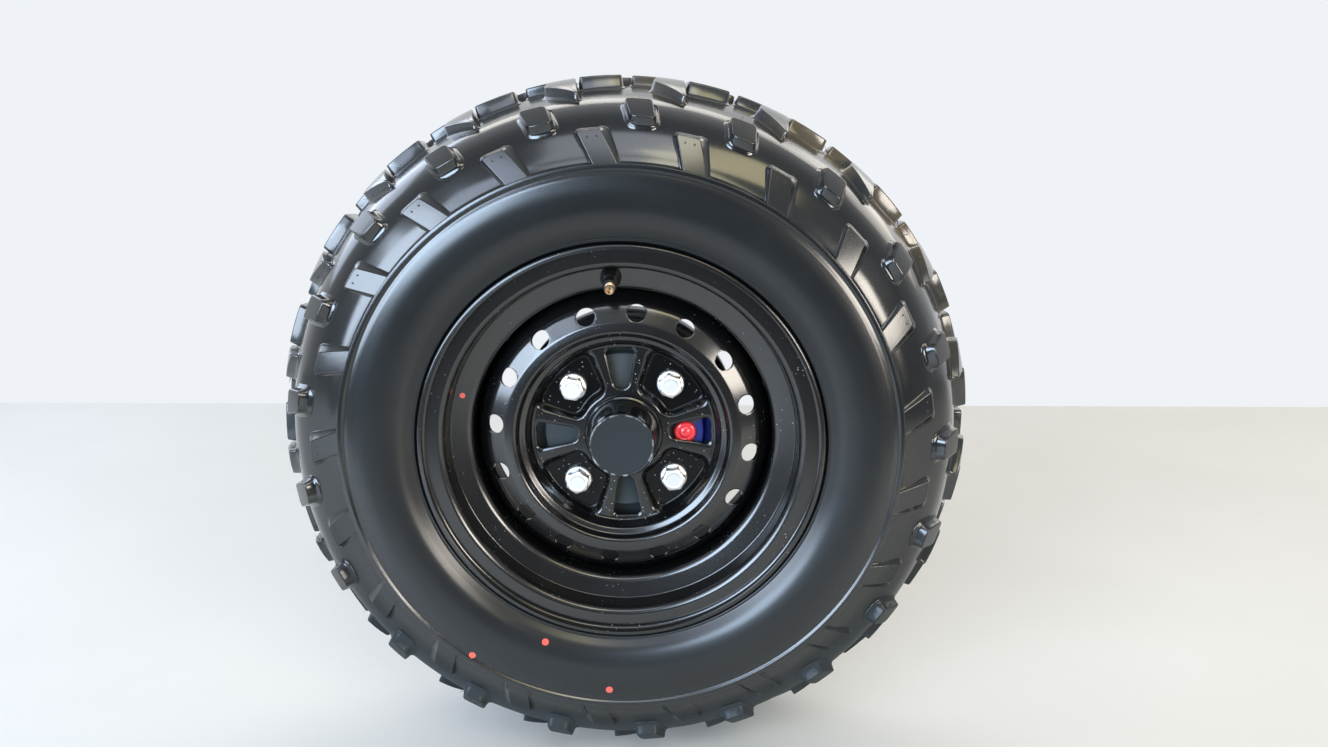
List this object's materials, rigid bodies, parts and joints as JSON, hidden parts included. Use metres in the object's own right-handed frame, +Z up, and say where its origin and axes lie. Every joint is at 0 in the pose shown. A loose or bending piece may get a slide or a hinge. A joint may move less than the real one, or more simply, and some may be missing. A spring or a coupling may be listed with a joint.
{
  "type": "quad bike front wheel with brake drum and knuckle",
  "caption": "Front wheel of a utility quad bike: knobbly tyre on a black pressed steel rim, bolted to a brake drum that turns on a steering knuckle.",
  "frame": {"origin": "centre of the lower ball joint bore's mouth, at the bottom of the steering knuckle", "axes": "+Z up, -Y to the wheel's outer face, -X to the front of the quad bike; the wheel turns about Y"},
  "size_m": [0.555, 0.178, 0.5556],
  "materials": {
    "tyre_rubber": "matt",
    "black_enamel": "satin gloss",
    "bright_zinc": "bright",
    "cast_iron": "cast",
    "cap_plastic": "matt",
    "black_rubber": "matt",
    "red_rubber": "glossy",
    "brass": "satin",
    "forged_steel": "black paint",
    "cast_aluminium": "cast"
  },
  "bodies": {
    "knuckle": {"steering_knuckle": "forged_steel", "brake_panel": "cast_aluminium", "wheel_cylinder": "cast_aluminium", "bleeder_screw": "bright_zinc", "bleeder_cap": "black_rubber"},
    "wheel": {"tyre": "tyre_rubber", "rim_barrel": "black_enamel", "wheel_disc": "black_enamel", "valve_stem": "black_rubber", "valve_tip": "brass", "wheel_nuts": "bright_zinc", "brake_drum": "cast_iron", "drum_plug": "red_rubber", "hub_cap": "cap_plastic"}
  },
  "joints": [
    {"name": "wheel_spin", "type": "hinge", "parent": "knuckle", "child": "wheel", "pos_m": [0, -0.05, 0.08], "axis": [0, 1, 0], "continuous": true}
  ]
}
